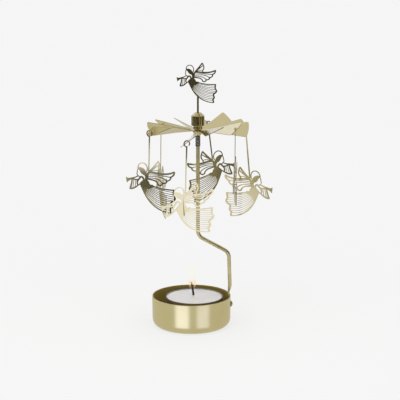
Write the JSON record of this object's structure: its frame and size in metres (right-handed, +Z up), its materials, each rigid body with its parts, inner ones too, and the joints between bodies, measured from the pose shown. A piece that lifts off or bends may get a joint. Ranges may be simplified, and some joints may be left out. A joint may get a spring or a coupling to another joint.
{
  "type": "angel chime carousel",
  "caption": "Tealight carousel: a round dish with a bent rod and a needle on which a fan wheel turns in the candle's warm air and carries hanging angel figures.",
  "frame": {"origin": "centre of the dish's flat underside, on the surface that the carousel stands on", "axes": "+Z up along the dish's axis, +X towards the foot of the stand rod, +Y away from the viewer who has the rod's foot on the right"},
  "size_m": [0.0978, 0.0861, 0.1792],
  "materials": {
    "dish_brass": "satin, lightly brushed",
    "rod_brass": "drawn wire, satin",
    "rivet_brass": "pressed, worn",
    "sleeve_steel": "ground",
    "needle_steel": "hardened point",
    "pivot_steel": "hardened",
    "hub_brass": "turned, polished",
    "fan_brass": "polished sheet",
    "top_rod_brass": "polished wire",
    "top_angel_brass": "polished sheet",
    "angel_brass": "polished sheet",
    "tealight_foil": "pressed foil",
    "wax": "smooth wax",
    "wick_cotton": "burnt braid",
    "wick_tin": "tinned sheet"
  },
  "bodies": {
    "stand": {"cup_dish": "dish_brass", "stand_rod": "rod_brass", "foot_rivet": "rivet_brass", "needle_sleeve": "sleeve_steel", "needle_pin": "needle_steel"},
    "carousel": {"hub_cap": "hub_brass", "pivot_cup": "pivot_steel", "hub_nut": "hub_brass", "fan_wheel": "fan_brass", "top_rod": "top_rod_brass", "top_angel": "top_angel_brass"},
    "angel_1": {"hanging_angel_1": "angel_brass"},
    "angel_2": {"hanging_angel_2": "angel_brass"},
    "angel_3": {"hanging_angel_3": "angel_brass"},
    "angel_4": {"hanging_angel_4": "angel_brass"},
    "angel_5": {"hanging_angel_5": "angel_brass"},
    "angel_6": {"hanging_angel_6": "angel_brass"},
    "tealight": {"tealight_cup": "tealight_foil", "tealight_wax": "wax", "wick": "wick_cotton", "wick_sustainer": "wick_tin"}
  },
  "joints": [
    {"name": "carousel_spin", "type": "hinge", "parent": "stand", "child": "carousel", "pos_m": [0.0044, 0, 0.134], "axis": [0, 0, 1], "continuous": true},
    {"name": "angel_1_swing", "type": "hinge", "parent": "carousel", "child": "angel_1", "pos_m": [0.03642, 0.00988, 0.13329], "axis": [0.3371, -0.9415, 0], "range_deg": [-8, 30]},
    {"name": "angel_2_swing", "type": "hinge", "parent": "carousel", "child": "angel_2", "pos_m": [0.01165, 0.03274, 0.1332], "axis": [0.9839, -0.1788, 0], "range_deg": [-8, 30]},
    {"name": "angel_3_swing", "type": "hinge", "parent": "carousel", "child": "angel_3", "pos_m": [-0.02064, 0.02243, 0.13354], "axis": [0.6468, 0.7627, 0], "range_deg": [-8, 30]},
    {"name": "angel_4_swing", "type": "hinge", "parent": "carousel", "child": "angel_4", "pos_m": [-0.02761, -0.01006, 0.13428], "axis": [-0.3371, 0.9415, 0], "range_deg": [-8, 30]},
    {"name": "angel_5_swing", "type": "hinge", "parent": "carousel", "child": "angel_5", "pos_m": [-0.00295, -0.03258, 0.13136], "axis": [-0.9839, 0.1788, 0], "range_deg": [-8, 30]},
    {"name": "angel_6_swing", "type": "hinge", "parent": "carousel", "child": "angel_6", "pos_m": [0.02866, -0.0228, 0.13783], "axis": [-0.6468, -0.7627, 0], "range_deg": [-8, 30]},
    {"name": "tealight_lift", "type": "slide", "parent": "stand", "child": "tealight", "axis": [0, 0, 1], "range_m": [0, 0.0215]}
  ]
}
